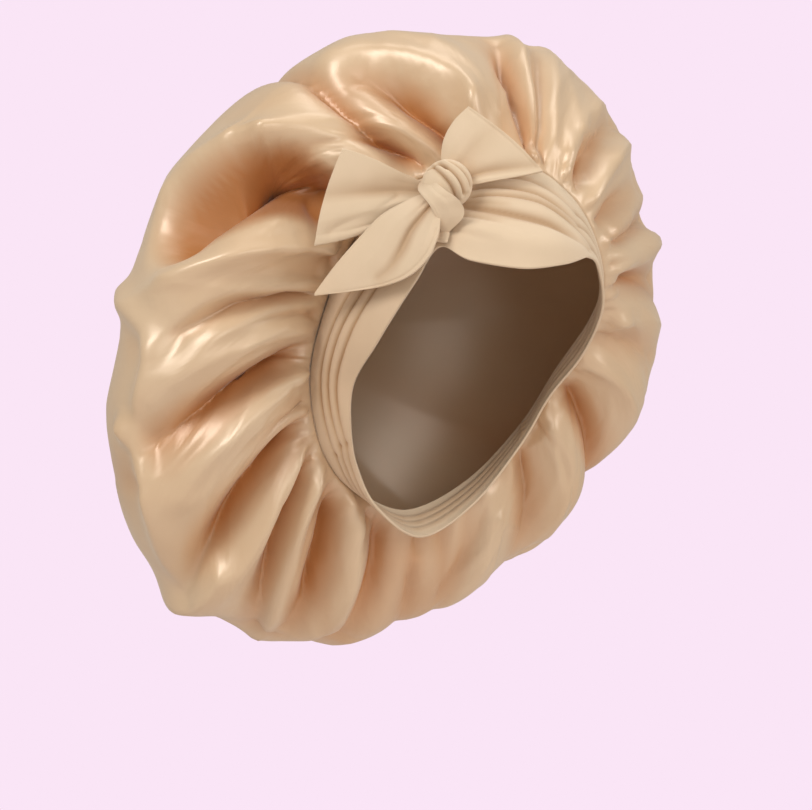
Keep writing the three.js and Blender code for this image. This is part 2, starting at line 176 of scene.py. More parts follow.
FOLDS = (
    Fold("arch over the cave", (335, 0.00), (321, 0.33), (302, 0.57), (9, 14), 12),
    Fold("crease above the arch", (340, 0.00), (332, 0.28), (338, 0.64), (5, 9), -17, 1.4, 0.5),
    Fold("cave", (314, 0.13), (309, 0.31), (297, 0.50), (13, 30), -48, 3.8, 0.2),
    Fold("cave floor", (308, 0.28), (303, 0.40), (296, 0.49), (11, 18), -12, 2.0),
    Fold("fold in the cave", (316, 0.38), (314, 0.28), (317, 0.17), (5, 7), 9),
    Fold("loop in the cave", (309, 0.16), (304, 0.23), (299, 0.25), (4, 4), 5),
    Fold("shelf under the cave", (306, 0.08), (291, 0.31), (277, 0.58), (6, 18), 17, 1.3, 0.7),
    Fold("first side ridge", (295, 0.00), (283, 0.29), (270, 0.46), (4, 9), 7),
    Fold("first side valley", (295, 0.00), (284, 0.20), (273, 0.40), (4, 10), -13),
    Fold("second side ridge", (292, 0.00), (278, 0.23), (264, 0.38), (4, 9), 6),
    Fold("third side ridge", (284, 0.00), (272, 0.21), (260, 0.44), (4, 12), 6),
    Fold("crease under the panel", (277, 0.00), (261, 0.18), (251, 0.44), (5, 14), -25),
    Fold("side spine", (281, 0.62), (268, 0.47), (254, 0.52), (9, 10), 7, 1.8, 0.7),
    Fold("fold under the crease", (264, 0.00), (253, 0.18), (240, 0.36), (4, 12), 10),
    Fold("low spine", (254, 0.52), (240, 0.45), (222, 0.50), (9, 10), 8, 1.6),
    Fold("valley by the long fold", (248, 0.00), (234, 0.20), (220, 0.48), (5, 13), -25),
    Fold("low corner", (222, 0.36), (218, 0.47), (216, 0.62), (9, 16), 18, 1.3),
    Fold("long fold", (238, 0.00), (223, 0.22), (216, 0.44), (5, 15), 11),
    Fold("first finger valley", (234, 0.00), (217, 0.20), (203, 0.48), (5, 13), -25),
    Fold("first finger", (226, 0.00), (212, 0.22), (199, 0.52), (4, 14), 13, 1.45, 0.2),
    Fold("second finger valley", (210, 0.00), (201, 0.20), (198, 0.42), (5, 12), -23),
    Fold("second finger", (198, 0.00), (193, 0.18), (190, 0.40), (5, 13), 9),
    Fold("neck valley", (190, 0.00), (185, 0.15), (186, 0.44), (6, 14), -20),
    Fold("under neck valley", (176, 0.00), (174, 0.24), (172, 0.50), (7, 16), -12),
    Fold("top lobe", (350, 0.14), (358, 0.28), (346, 0.50), (10, 26), 8, 1.8),
    Fold("top lobe ridge", (352, 0.11), (352, 0.26), (339, 0.44), (6, 14), 9),
    Fold("top valley", (347, 0.00), (346, 0.18), (340, 0.34), (7, 14), -22, 1.6),
    Fold("brow valley", (4, 0.00), (9, 0.24), (13, 0.42), (5, 9), -18, 1.7, 0.7),
    Fold("brow ridge", (4, 0.00), (12, 0.24), (18, 0.48), (4, 9), 9),
    Fold("brow crease", (6, 0.00), (14, 0.22), (21, 0.44), (4, 7), -6),
    Fold("temple ridge", (10, 0.00), (18, 0.22), (26, 0.46), (4, 9), 6),
    Fold("temple crease", (24, 0.00), (31, 0.16), (40, 0.34), (4, 8), -8),
    Fold("left temple ridge", (32, 0.00), (35, 0.12), (43, 0.28), (5, 10), 8),
    Fold("left temple valley", (42, 0.00), (47, 0.12), (52, 0.30), (4, 9), -6),
    Fold("left ear crease", (51, 0.00), (57, 0.16), (62, 0.38), (5, 8), -13),
    Fold("left ear lobe", (57, 0.00), (64, 0.18), (69, 0.42), (7, 15), 10, 1.9, 0.6),
    Fold("valley under the lobe", (69, 0.00), (71, 0.14), (75, 0.36), (5, 9), -13),
    Fold("left cheek bulge", (80, 0.00), (83, 0.09), (84, 0.13), (8, 8), 6, 2.0),
    Fold("left cheek crease", (90, 0.00), (92, 0.12), (94, 0.30), (5, 12), -8),
    Fold("left cheek ridge", (97, 0.00), (104, 0.20), (110, 0.42), (8, 20), 5, 1.8),
    Fold("left jaw crease", (114, 0.00), (118, 0.20), (124, 0.44), (6, 14), -12),
    Fold("left jaw ridge", (124, 0.00), (129, 0.22), (134, 0.46), (8, 18), 7),
    Fold("left nape crease", (138, 0.00), (142, 0.22), (148, 0.46), (6, 14), -12, 1.45, 0.8),
    Fold("left nape ridge", (152, 0.00), (156, 0.22), (162, 0.48), (8, 18), 8),
)

BAND_FOLDS = (
    Fold("high pleat", (346, 0.80), (358, 0.80), (382, 0.62), (1.5, 2.0), -1.6, 1.2),
    Fold("upper pleat", (345, 0.70), (357, 0.67), (380, 0.43), (1.5, 2.2), -2.2, 1.2),
    Fold("middle pleat", (344, 0.62), (360, 0.55), (390, 0.19), (1.5, 2.2), -2.2, 1.2),
    Fold("edge of the lobe", (341, 0.54), (353, 0.40), (385, 0.11), (2.2, 3.8), -3.4, 1.4),
    Fold("lobe", (339, 0.28), (353, 0.18), (376, 0.10), (8, 12), 3.5, 2.0),
    Fold("lobe wrinkle", (337, 0.44), (342, 0.41), (349, 0.31), (1.6, 3.4), -2.0, 1.3),
    Fold("low wrinkle", (334, 0.30), (338, 0.24), (343, 0.18), (1.5, 3.0), -1.8, 1.3),
    Fold("knot pinch", (336, 0.60), (342, 0.58), (350, 0.52), (1.4, 2.4), -1.5, 1.3),
    Fold("side outer pleat", (300, 0.60), (266, 0.76), (228, 0.60), (1.3, 1.6), -2.2, 1.2),
    Fold("side middle pleat", (300, 0.44), (267, 0.58), (234, 0.36), (1.3, 1.6), -2.4, 1.2),
    Fold("side inner pleat", (300, 0.32), (266, 0.38), (236, 0.16), (1.3, 1.6), -2.2, 1.2),
    Fold("left high pleat", (24, 0.62), (78, 0.72), (132, 0.66), (1.5, 1.8), -1.6, 1.2, 0),
    Fold("left middle pleat", (22, 0.42), (78, 0.48), (132, 0.44), (1.5, 1.8), -1.6, 1.2, 0),
    Fold("left low pleat", (32, 0.18), (78, 0.26), (132, 0.24), (1.5, 1.8), -1.4, 1.2, 0),
    Fold("nape high pleat", (132, 0.66), (180, 0.68), (228, 0.60), (1.8, 1.5), -1.6, 1.2, 0),
    Fold("nape middle pleat", (132, 0.44), (182, 0.48), (234, 0.36), (1.8, 1.5), -1.6, 1.2, 0),
    Fold("nape low pleat", (132, 0.24), (184, 0.26), (236, 0.16), (1.8, 1.5), -1.4, 1.2, 0),
)


class Edges(NamedTuple):
    """One station of a flap on its way out from the knot: its right and left edges, in millimetres."""

    right: Triple
    left: Triple


LEFT_EAR_EDGES = (
    Edges((-24, -60, 117), (-25, -60, 106)),
    Edges((-33, -58, 120), (-34, -57, 104)),
    Edges((-46, -57, 126), (-46, -54, 98)),
    Edges((-58, -56, 132), (-60, -52, 91)),
    Edges((-70, -54, 137), (-78, -50, 85)),
    Edges((-80, -52, 140), (-97, -52, 81)),
)
LEFT_EAR_FOLDS = (
    Fold("long valley", (0.60, 0.10), (0.56, 0.50), (0.52, 1.00), (2.5, 7), -3.2),
    Fold("lower lobe", (0.34, 0.20), (0.30, 0.60), (0.24, 0.98), (5, 10), 3.2),
    Fold("upper dent", (0.82, 0.12), (0.80, 0.30), (0.74, 0.55), (3, 8), -1.8),
    Fold("knot pinch", (0.45, 0.08), (0.42, 0.24), (0.38, 0.42), (1.8, 4), -1.8),
    Fold("low pinch", (0.22, 0.08), (0.20, 0.26), (0.16, 0.46), (1.6, 4), -1.4),
    Fold("short wrinkle", (0.46, 0.42), (0.36, 0.50), (0.30, 0.58), (1.6, 2.4), -1.1),
    Fold("corner dip", (0.12, 0.90), (0.20, 0.80), (0.24, 0.66), (2.5, 4), -1.2),
    Fold("hem roll", (0.05, 0.30), (0.04, 0.65), (0.05, 1.00), (2.6, 3.2), 1.3),
    Fold("hem seam", (0.11, 0.34), (0.10, 0.65), (0.11, 1.00), (0.9, 0.9), -0.7),
)
RIGHT_EAR_EDGES = (
    Edges((-6, -61, 117), (-19, -56, 126)),
    Edges((2, -62, 118), (-20.5, -56, 134)),
    Edges((12, -62, 120), (-19, -57, 145)),
    Edges((26, -60, 122.5), (-13, -57, 156)),
    Edges((41, -57, 126), (-4, -55, 165)),
)
RIGHT_EAR_FOLDS = (
    Fold("strip fold", (0.72, 0.06), (0.80, 0.50), (0.93, 1.00), (2.2, 4.5), -3.0),
    Fold("strip", (0.90, 0.20), (0.94, 0.55), (1.00, 0.95), (3.5, 4.5), 1.6),
    Fold("soft dip", (0.50, 0.14), (0.42, 0.50), (0.34, 0.95), (4, 9), -1.5),
    Fold("left swell", (0.22, 0.20), (0.18, 0.50), (0.12, 0.90), (5, 8), 1.6),
    Fold("knot pinch", (0.34, 0.04), (0.36, 0.18), (0.36, 0.34), (1.6, 3.5), -1.4),
    Fold("second pinch", (0.56, 0.04), (0.60, 0.20), (0.62, 0.40), (1.6, 4), -1.5),
    Fold("end seam", (0.04, 0.955), (0.50, 0.955), (0.96, 0.955), (0.8, 0.8), -0.6),
)
LONG_TAIL_EDGES = (
    Edges((-27, -66, 113), (-20, -74, 104)),
    Edges((-34, -68, 111), (-21, -80, 98)),
    Edges((-45, -67, 106), (-22, -83, 90)),
    Edges((-57, -64, 99), (-24.5, -85, 82)),
    Edges((-68, -59, 88), (-29, -84, 73)),
    Edges((-79, -53, 76), (-41, -78, 62)),
    Edges((-89, -45, 64), (-62, -64, 55.5)),
    Edges((-97.5, -38, 52.5), (-97.5, -38, 51)),
)
LONG_TAIL_FOLDS = (
    Fold("inner fold", (0.46, 0.06), (0.44, 0.42), (0.26, 0.78), (1.8, 4.5), -4.0),
    Fold("bright panel", (0.22, 0.14), (0.18, 0.42), (0.12, 0.66), (3.5, 5), 1.8),
    Fold("left swell", (0.74, 0.12), (0.68, 0.50), (0.56, 0.88), (5, 8), 2.2),
    Fold("knot pinch", (0.66, 0.02), (0.66, 0.14), (0.62, 0.30), (1.4, 3), -1.4),
    Fold("lower hem", (0.06, 0.30), (0.05, 0.65), (0.10, 0.94), (0.8, 0.8), -0.7),
    Fold("upper hem", (0.97, 0.20), (0.97, 0.55), (0.95, 0.92), (0.8, 0.8), -0.4),
)
SHORT_TAIL_EDGES = (
    Edges((-24, -70, 99), (-16, -71, 97)),
    Edges((-25.5, -73, 93), (-15.5, -74, 91)),
    Edges((-26.5, -76, 88), (-16, -77, 86)),
    Edges((-26, -78, 83.5), (-17.5, -79, 83)),
)
SHORT_TAIL_FOLDS = (
    Fold("middle fold", (0.50, 0.10), (0.52, 0.50), (0.55, 1.00), (1.2, 1.8), -1.2),
    Fold("end seam", (0.04, 0.86), (0.50, 0.88), (0.96, 0.86), (0.6, 0.6), -0.4),
)
STRAP_EDGES = (
    Edges((-34, -62, 118), (-27, -62, 126)),
    Edges((-34.5, -72, 114), (-24.5, -75, 119.5)),
    Edges((-31.5, -79, 109.5), (-18.5, -84, 113.5)),
    Edges((-28.4, -82, 105.5), (-11.5, -84.5, 108.5)),
    Edges((-25.6, -82, 101), (-7.2, -81, 102.5)),
    Edges((-23.2, -80, 96), (-8.2, -79, 96.5)),
    Edges((-21.2, -76, 90.5), (-14.2, -76, 90.5)),
    Edges((-19.8, -72, 85.8), (-18.8, -72, 85.6)),
)
STRAP_FOLDS = (
    Fold("middle", (0.50, 0.20), (0.50, 0.50), (0.50, 0.85), (5, 6), 1.2),
    Fold("left edge", (0.90, 0.12), (0.90, 0.45), (0.86, 0.80), (1.2, 1.6), 0.6),
    Fold("wrinkle", (0.30, 0.10), (0.36, 0.26), (0.34, 0.42), (1.2, 2), -0.7),
)
KNOT_FOLDS = (
    Fold("first strand", (-0.70, 0.90), (0.05, 0.54), (0.36, 0.18), (1.2, 1.5), -2.8, 1.2, 0),
    Fold("second strand", (-0.36, 0.94), (0.38, 0.66), (0.68, 0.30), (1.1, 1.4), -2.5, 1.2, 0),
    Fold("third strand", (0.04, 0.97), (0.66, 0.75), (0.93, 0.46), (1.0, 1.3), -2.2, 1.2, 0),
    Fold("top loop", (-0.80, 0.78), (-0.40, 0.90), (-0.06, 0.84), (1.0, 1.2), -2.4, 1.3, 0),
    Fold("first roll", (-0.52, 0.88), (0.22, 0.60), (0.52, 0.24), (2.2, 2.4), 1.0, 2.0, 0),
    Fold("second roll", (-0.16, 0.96), (0.54, 0.70), (0.82, 0.38), (2.0, 2.2), 1.0, 2.0, 0),
)


def smooth(x: np.ndarray) -> np.ndarray:
    """Eases a number from 0 to 1."""
    t = np.clip(x, 0, 1)
    return t * t * (3 - 2 * t)


def turned(points: np.ndarray, angle: float) -> np.ndarray:
    """Turns points about the upright axis.

    Args:
        points: Points along the last axis.
        angle: Turn in radians.

    Returns:
        The turned points.
    """
    x, y, z = points[..., 0], points[..., 1], points[..., 2]
    cosine, sine = math.cos(angle), math.sin(angle)
    return np.stack([x * cosine - y * sine, x * sine + y * cosine, z], -1)


def unit(vectors: np.ndarray) -> np.ndarray:
    """Scales vectors to length one."""
    length = np.linalg.norm(vectors, axis=-1, keepdims=True)
    return vectors / np.maximum(length, 1e-12)


def around(clocks: np.ndarray, values: np.ndarray, at: np.ndarray) -> np.ndarray:
    """Reads a closed table at any clock angle, along a smooth curve through its rows.

    Args:
        clocks: The rows' clock angles in degrees, rising.
        values: The rows' values, a row each.
        at: Clock angles to read at.

    Returns:
        The values, with one axis more than `at`.
    """
    turn = np.mod(at, 360.0)
    count = len(clocks)
    low = (np.searchsorted(clocks, turn, side="right") - 1) % count
    high, before, after = (low + 1) % count, (low - 1) % count, (low + 2) % count

    def span(start: np.ndarray, end: np.ndarray) -> np.ndarray:
        """Degrees from one row to another, going round."""
        return np.mod(clocks[end] - clocks[start], 360.0)[..., None]

    width = span(low, high)
    t = np.mod(turn - clocks[low], 360.0)[..., None] / width
    leave = (values[high] - values[before]) / span(before, high) * width
    arrive = (values[after] - values[low]) / span(low, after) * width
    rise = values[high] - values[low]
    return values[low] + t * (leave + t * ((3 * rise - 2 * leave - arrive) + t * (leave + arrive - 2 * rise)))


def bezier(p0: np.ndarray, p1: np.ndarray, p2: np.ndarray, p3: np.ndarray, t: np.ndarray) -> np.ndarray:
    """Points on cubic curves.

    Args:
        p0: Start points.
        p1: First handles.
        p2: Second handles.
        p3: End points.
        t: How far along, from 0 to 1.

    Returns:
        The points.
    """
    s = 1 - t
    return s**3 * p0 + 3 * s * s * t * p1 + 3 * s * t * t * p2 + t**3 * p3


def through(rows: np.ndarray, at: np.ndarray) -> np.ndarray:
    """Points along a smooth curve through rows.

    Args:
        rows: The points, a row each.
        at: How far along, from 0 to 1.

    Returns:
        The points on the curve, with one axis more than `at`.
    """
    last = len(rows) - 1
    low = np.clip((at * last).astype(int), 0, last - 1)
    t = (at * last - low)[..., None]
    before, start, end, after = (rows[np.clip(low + k, 0, last)] for k in (-1, 0, 1, 2))
    leave, arrive = (end - before) / 2, (after - start) / 2
    rise = end - start
    return start + t * (leave + t * ((3 * rise - 2 * leave - arrive) + t * (leave + arrive - 2 * rise)))


def relief(points: np.ndarray, surface: Callable[[np.ndarray, np.ndarray], np.ndarray], folds: Sequence[Fold],
           pieces: int = 14) -> np.ndarray:
    """Height of all folds together over a surface.

    Args:
        points: Points of the surface, in millimetres.
        surface: Gives a point of the surface for the two numbers that a fold's stations hold.
        folds: The folds.
        pieces: Straight pieces that a fold's line is followed with.

    Returns:
        Heights in millimetres.
    """
    total = np.zeros(points.shape[:-1])
    t = np.linspace(0, 1, pieces)[:, None]
    for fold in folds:
        start, middle, end = (np.array(s) for s in (fold.start, fold.middle, fold.end))
        bend = 2 * middle - (start + end) / 2
        path = (1 - t) ** 2 * start + 2 * t * (1 - t) * bend + t**2 * end
        line = surface(path[:, 0], np.clip(path[:, 1], 0, 1))
        nearest = np.full(total.shape, np.inf)
        place = np.zeros(total.shape)
        for k in range(pieces - 1):
            step = line[k + 1] - line[k]
            foot = np.clip((points - line[k]) @ step / (step @ step), 0, 1)
            distance = np.linalg.norm(points - line[k] - foot[..., None] * step, axis=-1)
            closer = distance < nearest
            nearest = np.where(closer, distance, nearest)
            place = np.where(closer, (k + foot) / (pieces - 1), place)
        width = fold.width[0] + (fold.width[1] - fold.width[0]) * place
        fade = 1 - fold.fade * smooth((place - FADE_START) / (1 - FADE_START))
        total += fold.height * fade * np.exp(-((nearest / width) ** fold.crispness))
    return total


@dataclass
class BonnetForm:
    """The surface that the cloth follows, by clock angle seen from the face. Lengths are in millimetres."""

    head_radius: float = 105.0
    axis_height: float = 20.0
    band_middle: Triple = (0.0, 40.0, 0.0)
    back: Triple = (-5.0, 222.0, 25.0)
    seam_reach: float = 0.10
    rise_share: float = 0.35
    swell_share: float = 0.45
    least_swell: float = 60.0
    turn_share: float = 0.42
    flat_share: float = 0.5
    band_clocks: np.ndarray = field(init=False)
    band_edges: np.ndarray = field(init=False)
    puff_clocks: np.ndarray = field(init=False)
    puff_values: np.ndarray = field(init=False)
    swing_clocks: np.ndarray = field(init=False)
    swing_values: np.ndarray = field(init=False)

    def __post_init__(self) -> None:
        """Turns the tables into arrays."""
        self.band_clocks = np.array([row.clock for row in BAND_SECTIONS], float)
        self.band_edges = np.array([row.face + row.seam for row in BAND_SECTIONS], float)
        self.puff_clocks = np.array([row.clock for row in PUFF_SECTIONS], float)
        self.puff_values = np.array([row[1:] for row in PUFF_SECTIONS], float)
        self.swing_clocks = np.array([row.clock for row in GATHER_SWINGS], float)
        self.swing_values = np.array([row[1:] for row in GATHER_SWINGS], float)

    def band_points(self, clock: np.ndarray, across: np.ndarray) -> np.ndarray:
        """The band's cloth before pleats.

        Args:
            clock: Clock angles in degrees.
            across: Way from the face edge (0) to the seam (1).

        Returns:
            Points in millimetres.
        """
        edges = around(self.band_clocks, self.band_edges, clock)
        face, seam = edges[..., :3], edges[..., 3:]
        chord = seam - face
        length = np.linalg.norm(chord, axis=-1, keepdims=True)
        outward = (face + seam) / 2 - np.array(self.band_middle)
        along = chord / length
        outward = unit(outward - (outward * along).sum(-1, keepdims=True) * along)
        t = across[..., None]
        return face + chord * t + outward * (length**2 / (8 * self.head_radius) * 4 * t * (1 - t))

    def band_normals(self, clock: np.ndarray, across: np.ndarray) -> np.ndarray:
        """Outward unit vectors of the band's cloth."""
        along = self.band_points(clock + 1, across) - self.band_points(clock - 1, across)
        over = self.band_points(clock, across + 0.01) - self.band_points(clock, across - 0.01)
        return unit(np.cross(along, over))

    def swing(self, clock: np.ndarray) -> np.ndarray:
        """How far the gathers swing between seam and rim, in degrees, at middle clock angles."""
        return around(self.swing_clocks, self.swing_values, clock)[..., 0]

    def puff_points(self, clock: np.ndarray, way: np.ndarray) -> np.ndarray:
        """The puff's cloth before folds.

        Args:
            clock: Clock angles in degrees.
            way: Way from the seam (0) over the rim (0.5) to the middle of the back (1).

        Returns:
            Points in millimetres.
        """
        seam = self.band_points(clock, np.ones_like(clock))
        values = around(self.puff_clocks, self.puff_values, clock)
        rim, depth, roll = (values[..., k : k + 1] for k in range(3))
        angle = np.radians(clock)
        out = np.stack([np.sin(angle), np.zeros_like(angle), np.cos(angle)], -1)
        ahead = np.array([0.0, -1.0, 0.0])
        top = out * rim - ahead * depth + np.array([0.0, 0.0, self.axis_height])
        back = np.array(self.back)
        t = way[..., None]
        leave = seam + self.rise_share * (top - seam) + ahead * roll
        arrive = top + ahead * self.swell_share * (self.least_swell + roll)
        front = bezier(seam, leave, arrive, top, np.clip(2 * t, 0, 1))
        far = np.linalg.norm(back - top, axis=-1, keepdims=True)
        turn_over = top - ahead * self.turn_share * far
        level = back + out * self.flat_share * far
        rear = bezier(top, turn_over, level, back + 0 * top, np.clip(2 * t - 1, 0, 1))
        return np.where(t <= 0.5, front, rear)

    def puff_normals(self, clock: np.ndarray, way: np.ndarray) -> np.ndarray:
        """Outward unit vectors of the puff's cloth."""
        along = self.puff_points(clock + 1, way) - self.puff_points(clock - 1, way)
        further = self.puff_points(clock, np.minimum(way + 0.01, 1))
        over = further - self.puff_points(clock, np.maximum(way - 0.01, 0))
        normals = unit(np.cross(along, over))
        return np.where(way[..., None] > POLE_START, np.array([0.0, 1.0, 0.0]), normals)

    def fold_heights(self, points: np.ndarray, way: np.ndarray) -> np.ndarray:
        """Height of all the puff's folds together.

        Args:
            points: Points of the puff before folds, in millimetres.
            way: Their way from the seam to the back.

        Returns:
            Heights in millimetres.
        """
        return relief(points, self.puff_points, FOLDS) * smooth(way / self.seam_reach)


def select_only(obj: bpy.types.Object) -> None:
    """Deselects everything, then selects one object and makes it active."""
    bpy.ops.object.select_all(action="DESELECT")
    obj.select_set(True)
    bpy.context.view_layer.objects.active = obj


def new_grid(name: str, columns: int, rows: int) -> tuple[bpy.types.Object, np.ndarray, np.ndarray]:
    """Adds a flat grid whose UV map runs from 0 to 1 both ways.

    Args:
        name: The object's name.
        columns: Faces along U.
        rows: Faces along V.

    Returns:
        The object, and each vertex's U and V.
    """
    bpy.ops.object.select_all(action="DESELECT")
    bpy.ops.mesh.primitive_grid_add(x_subdivisions=columns, y_subdivisions=rows, size=1, calc_uvs=True)
    obj = bpy.context.active_object
    obj.name = obj.data.name = name
    flat = vertex_positions(obj)
    return obj, flat[:, 0] + 0.5, flat[:, 1] + 0.5


def vertex_positions(obj: bpy.types.Object) -> np.ndarray:
    """Reads a mesh's vertices, in metres, a row each."""
    co = np.empty(len(obj.data.vertices) * 3, np.float32)
    obj.data.vertices.foreach_get("co", co)
    return co.reshape(-1, 3).astype(float)


def move_vertices(obj: bpy.types.Object, positions: np.ndarray) -> None:
    """Writes a mesh's vertices, in metres, a row each."""
    obj.data.vertices.foreach_set("co", positions.astype(np.float32).ravel())
    obj.data.update()


def vertex_uvs(obj: bpy.types.Object) -> np.ndarray:
    """Reads one UV for each vertex."""
    mesh = obj.data
    uv = np.empty(len(mesh.loops) * 2, np.float32)
    mesh.uv_layers.active.data.foreach_get("uv", uv)
    corner = np.empty(len(mesh.loops), np.int32)
    mesh.loops.foreach_get("vertex_index", corner)
    result = np.zeros((len(mesh.vertices), 2))
    result[corner] = uv.reshape(-1, 2)
    return result


def vertex_normals(obj: bpy.types.Object) -> np.ndarray:
    """Reads a mesh's vertex normals, a row per vertex."""
    normals = np.empty(len(obj.data.vertices) * 3, np.float32)
    obj.data.vertices.foreach_get("normal", normals)
    return normals.reshape(-1, 3).astype(float)


def store_numbers(obj: bpy.types.Object, name: str, values: np.ndarray) -> None:
    """Stores a number on every vertex, for a material to read."""
    layer = obj.data.attributes.new(name, "FLOAT", "POINT")
    layer.data.foreach_set("value", values.astype(np.float32))


def apply_modifier(obj: bpy.types.Object, name: str) -> None:
    """Applies one modifier."""
    select_only(obj)
    bpy.ops.object.modifier_apply(modifier=name)


def close_seams(obj: bpy.types.Object, distance: float = 1e-5) -> None:
    """Merges doubled vertices, where a grid meets itself."""
    select_only(obj)
    bpy.ops.object.mode_set(mode="EDIT")
    bpy.ops.mesh.select_all(action="SELECT")
    bpy.ops.mesh.remove_doubles(threshold=distance)
    bpy.ops.object.mode_set(mode="OBJECT")


def thicken(obj: bpy.types.Object, thickness: float) -> None:
    """Gives a sheet its thickness, inwards from its outer face.

    Args:
        obj: A mesh object.
        thickness: Cloth thickness in metres.
    """
    modifier = obj.modifiers.new("Thickness", "SOLIDIFY")
    modifier.thickness = thickness
    modifier.offset = -1
    modifier.use_even_offset = False
    apply_modifier(obj, modifier.name)
    select_only(obj)
    bpy.ops.object.shade_smooth()


def add_piece(obj: bpy.types.Object, nodes: Sequence[str], material: bpy.types.Material) -> None:
    """Finishes a piece: its material, the CAD nodes it stands for and its body.

    Args:
        obj: The finished piece.
        nodes: CAD nodes that it replaces.
        material: Its material.
    """
    obj.data.materials.clear()
    obj.data.materials.append(material)
    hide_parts(*nodes)
    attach(obj, Body.ROOT.value)
    LOG.info("%s: %d vertices, %d faces", obj.name, len(obj.data.vertices), len(obj.data.polygons))


class Graph:
    """A short way to lay out a material's nodes."""

    def __init__(self, name: str) -> None:
        """Makes an empty node material of that name."""
        self.material = bpy.data.materials.new(name)
        self.material.use_nodes = True
        self.tree = self.material.node_tree
        self.shader = self.tree.nodes["Principled BSDF"]

    def add(self, kind: str, **settings: object) -> bpy.types.Node:
        """Adds a node.

        Args:
            kind: The node's type.
            settings: Its properties, or its inputs by name with spaces as underscores.

        Returns:
            The node.
        """
        node = self.tree.nodes.new(kind)
        for key, value in settings.items():
            if hasattr(node, key):
                setattr(node, key, value)
            else:
                node.inputs[key.replace("_", " ")].default_value = value
        return node

    def blend(self, amount: bpy.types.NodeSocket, low: object, high: object) -> bpy.types.NodeSocket:
        """Mixes two colours, each a socket or three numbers.

        Args:
            amount: 0 gives the low colour and 1 the high one.
            low: The first colour.
            high: The second colour.

        Returns:
            The mixed colour.
        """
        mix = self.add("ShaderNodeMix", data_type="RGBA")
        self.link(amount, mix.inputs[0])
        for place, value in ((6, low), (7, high)):
            if isinstance(value, tuple):
                mix.inputs[place].default_value = (*value, 1)
            else:
                self.link(value, mix.inputs[place])
        return mix.outputs[2]

    def link(self, source: bpy.types.NodeSocket, target: bpy.types.NodeSocket) -> None:
        """Links two sockets."""
        self.tree.links.new(source, target)

    def set(self, **values: object) -> None:
        """Sets numbers and colours on the shader's own sockets, by name with spaces as underscores."""
        for key, value in values.items():
            self.shader.inputs[key.replace("_", " ")].default_value = value


@dataclass(frozen=True)
class SatinFinish:
    """Champagne satin: glossy along its folds, with painted warm shade in its fold valleys and a very fine
    weave.
    """

    name: str = "champagne_satin"
    light: Triple = (0.75, 0.585, 0.41)
    tawny: Triple = (0.66, 0.44, 0.25)
    # Painted shade colour for fold valleys and the hollows between gathers.
    painted_shade_color: Triple = (0.52, 0.22, 0.07)
    roughness: float = 0.38
    weave: float = 900.0
    wrinkles: Triple = (60.0, 7.0, 1.0)
    wrinkle_depth: float = 0.003
    wrinkles_end: tuple[float, float] = (0.45, 0.80)

    def material(self) -> bpy.types.Material:
        """Builds the material.

        Returns:
            The material.
        """
        graph = Graph(self.name)
        graph.set(Roughness=self.roughness, Specular_IOR_Level=0.95, Anisotropic=0.55, Metallic=0.08)
        graph.set(Sheen_Weight=0.25, Sheen_Roughness=0.35, Sheen_Tint=(1.0, 0.93, 0.85, 1.0))
        place = graph.add("ShaderNodeTexCoord")
        cloud = graph.add("ShaderNodeTexNoise", Scale=9.0, Detail=3.0, Roughness=0.5)
        graph.link(place.outputs["Object"], cloud.inputs["Vector"])
        cloth = graph.blend(cloud.outputs["Fac"], self.tawny, self.light)
        # Painted shade: a number on each vertex darkens the cloth towards a warm brown where folds and
        # gathers hollow it, where shade falls.
        depth = graph.add("ShaderNodeAttribute", attribute_name="painted_shade")
        folded = graph.blend(depth.outputs["Fac"], cloth, self.painted_shade_color)
        graph.link(folded, graph.shader.inputs["Base Color"])
        tangent = graph.add("ShaderNodeTangent", direction_type="UV_MAP", uv_map="UVMap")
        graph.link(tangent.outputs["Tangent"], graph.shader.inputs["Tangent"])
        threads = graph.add("ShaderNodeTexNoise", Scale=self.weave, Detail=1.0)
        graph.link(place.outputs["Object"], threads.inputs["Vector"])
        stretch = graph.add("ShaderNodeMapping")
        stretch.inputs["Scale"].default_value = self.wrinkles
        graph.link(place.outputs["UV"], stretch.inputs["Vector"])
        wrinkle = graph.add("ShaderNodeTexNoise", Scale=1.0, Detail=2.5, Roughness=0.5, Distortion=0.4)
        graph.link(stretch.outputs["Vector"], wrinkle.inputs["Vector"])
        split = graph.add("ShaderNodeSeparateXYZ")
        graph.link(place.outputs["UV"], split.inputs["Vector"])
        begin, end = self.wrinkles_end
        fade = graph.add("ShaderNodeMapRange", From_Min=begin, From_Max=end, To_Min=1.0, To_Max=0.0)
        graph.link(split.outputs["Y"], fade.inputs["Value"])
        height = graph.add("ShaderNodeMath", operation="MULTIPLY")
        graph.link(wrinkle.outputs["Fac"], height.inputs[0])
        graph.link(fade.outputs["Result"], height.inputs[1])
        soft = graph.add("ShaderNodeBump", Strength=0.5, Distance=self.wrinkle_depth)
        graph.link(height.outputs["Value"], soft.inputs["Height"])
        bump = graph.add("ShaderNodeBump", Strength=0.05, Distance=0.0002)
        graph.link(threads.outputs["Fac"], bump.inputs["Height"])
        graph.link(soft.outputs["Normal"], bump.inputs["Normal"])
        graph.link(bump.outputs["Normal"], graph.shader.inputs["Normal"])
        return graph.material


